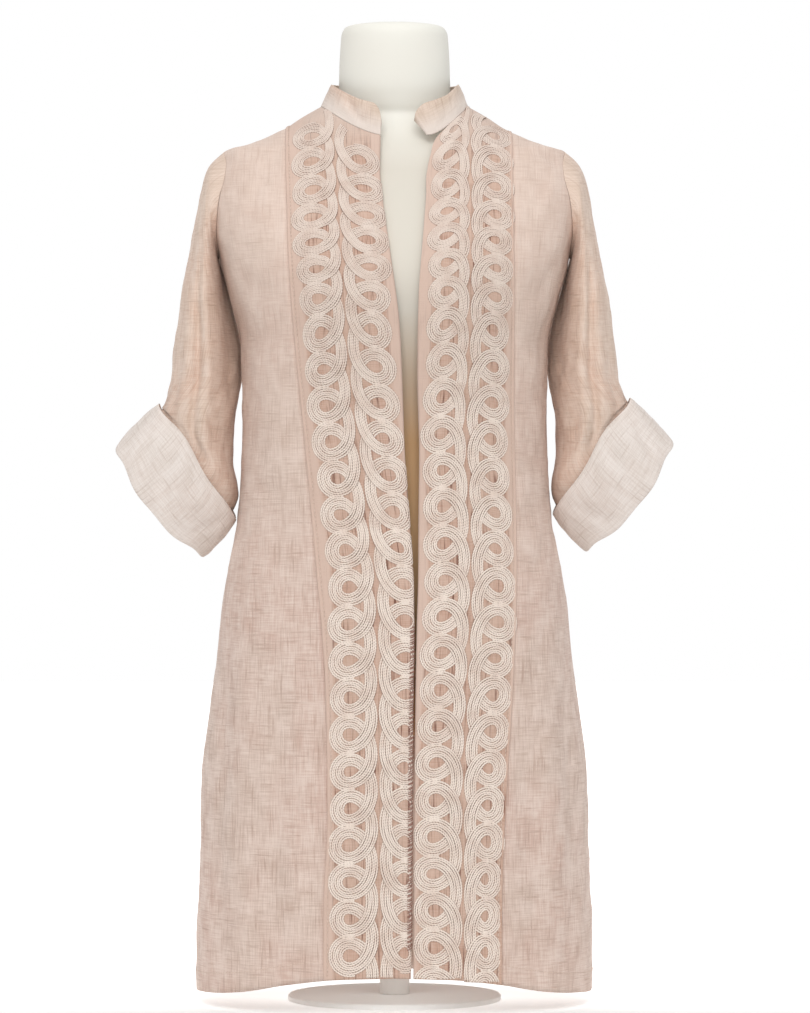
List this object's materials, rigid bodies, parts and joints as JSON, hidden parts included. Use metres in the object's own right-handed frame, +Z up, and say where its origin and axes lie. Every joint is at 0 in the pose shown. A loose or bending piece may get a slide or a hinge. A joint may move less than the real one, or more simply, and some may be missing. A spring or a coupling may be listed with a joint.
{
  "type": "embroidered linen jacket on a dress form",
  "caption": "Thigh-length open-front linen jacket with a stand collar, turned-back cuffs and looped cord bands, worn by a limbless dress form on a pole and a round base.",
  "frame": {"origin": "middle of the stand base's underside, on the floor", "axes": "+Z up, the jacket's front faces -Y, the wearer's left is +X"},
  "size_m": [0.5964, 0.2908, 1.0538],
  "materials": {
    "linen": "washed, mottled plain-weave linen, matte",
    "embroidery": "couched cream cords on linen",
    "cuff_linen": "paler wrong side of the linen, matte",
    "form": "smooth cream, satin",
    "stand": "white powder coat"
  },
  "bodies": {
    "root": {"back": "linen", "front_right": "linen", "front_left": "linen", "band_right": "embroidery", "band_left": "embroidery", "collar": "linen", "sleeve_right": "linen", "sleeve_left": "linen", "cuff_right": "cuff_linen", "cuff_left": "cuff_linen", "dress_form": "form", "stand_pole": "stand", "stand_base": "stand"}
  },
  "joints": []
}
